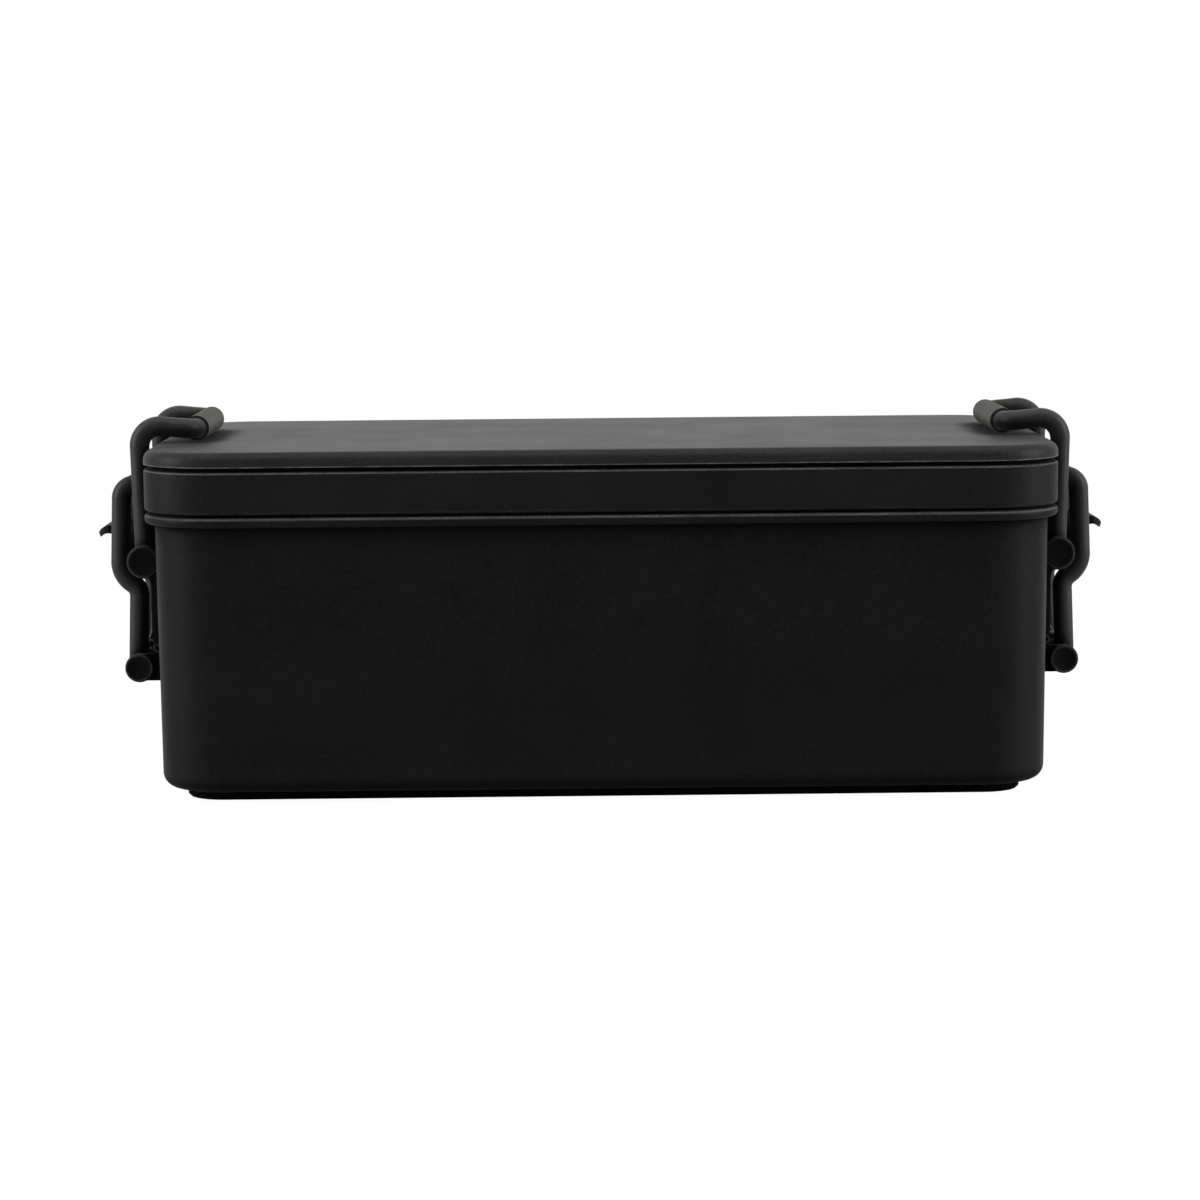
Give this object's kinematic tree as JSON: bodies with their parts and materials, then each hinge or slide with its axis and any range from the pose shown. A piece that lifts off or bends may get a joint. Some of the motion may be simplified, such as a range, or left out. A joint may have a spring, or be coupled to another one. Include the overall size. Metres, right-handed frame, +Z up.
{
  "type": "metal lunch box",
  "caption": "Rounded rectangular metal lunch box with a lift-out tray, a flat sealed lid and a wire bail latch with a roller and a finger lever at each end.",
  "frame": {"origin": "middle of the footprint, on the surface that the box rests on", "axes": "+X along the box towards one latch, +Y across the box, +Z up"},
  "size_m": [0.2172, 0.102, 0.0784],
  "materials": {
    "body_coat": "matte black powder coat",
    "collar_coat": "matte black powder coat",
    "lid_coat": "matte black powder coat",
    "bracket_coat": "matte black powder coat over pressed sheet",
    "wire_coat": "matte black powder coat over round wire",
    "pin_coat": "matte black powder coat over a headed pin",
    "roller_sleeve": "ribbed warm grey sleeve",
    "spring_steel": "blackened spring wire",
    "seal_rubber": "black silicone rubber",
    "foot_rubber": "black rubber"
  },
  "bodies": {
    "box": {"container": "body_coat", "foot_ring": "foot_rubber", "left_bracket": "bracket_coat", "left_bail_pin": "pin_coat", "left_lever_pin": "pin_coat", "left_anchor_tube": "pin_coat", "left_springs": "spring_steel", "right_bracket": "bracket_coat", "right_bail_pin": "pin_coat", "right_lever_pin": "pin_coat", "right_anchor_tube": "pin_coat", "right_springs": "spring_steel"},
    "tray": {"tray": "collar_coat", "rim_seal": "seal_rubber"},
    "lid": {"lid": "lid_coat", "lid_seal": "seal_rubber"},
    "left_bail": {"left_bail": "wire_coat"},
    "left_roller": {"left_roller": "roller_sleeve"},
    "left_lever": {"left_lever": "wire_coat", "left_finger_tab": "bracket_coat"},
    "right_bail": {"right_bail": "wire_coat"},
    "right_roller": {"right_roller": "roller_sleeve"},
    "right_lever": {"right_lever": "wire_coat", "right_finger_tab": "bracket_coat"}
  },
  "joints": [
    {"name": "lid_lift", "type": "slide", "parent": "box", "child": "lid", "axis": [0, 0, 1], "range_m": [0, 0.0195]},
    {"name": "tray_lift", "type": "slide", "parent": "box", "child": "tray", "axis": [0, 0, 1], "range_m": [0, 0.0098]},
    {"name": "left_bail_swing", "type": "hinge", "parent": "box", "child": "left_bail", "pos_m": [-0.0972, 0, 0.0477], "axis": [0, -1, 0], "range_deg": [0, 150]},
    {"name": "left_roller_spin", "type": "hinge", "parent": "left_bail", "child": "left_roller", "pos_m": [-0.086, 0, 0.07562], "axis": [0, -1, 0], "continuous": true},
    {"name": "left_lever_swing", "type": "hinge", "parent": "box", "child": "left_lever", "pos_m": [-0.09915, 0, 0.0244], "axis": [0, -1, 0], "range_deg": [0, 110], "stiffness_Nm_per_rad": 0.02, "springref_deg": -22.92, "deforming": ["left_springs"]},
    {"name": "right_bail_swing", "type": "hinge", "parent": "box", "child": "right_bail", "pos_m": [0.0972, 0, 0.0477], "axis": [0, 1, 0], "range_deg": [0, 150]},
    {"name": "right_roller_spin", "type": "hinge", "parent": "right_bail", "child": "right_roller", "pos_m": [0.086, 0, 0.07562], "axis": [0, 1, 0], "continuous": true},
    {"name": "right_lever_swing", "type": "hinge", "parent": "box", "child": "right_lever", "pos_m": [0.09915, 0, 0.0244], "axis": [0, 1, 0], "range_deg": [0, 110], "stiffness_Nm_per_rad": 0.02, "springref_deg": -22.92, "deforming": ["right_springs"]}
  ],
  "couplings": [
    {"joint": "tray_lift", "follows": "lid_lift", "ratio": 0.5},
    {"joint": "left_bail_swing", "follows": "lid_lift", "rad_per_m": 134.2},
    {"joint": "right_bail_swing", "follows": "lid_lift", "rad_per_m": 134.2}
  ]
}
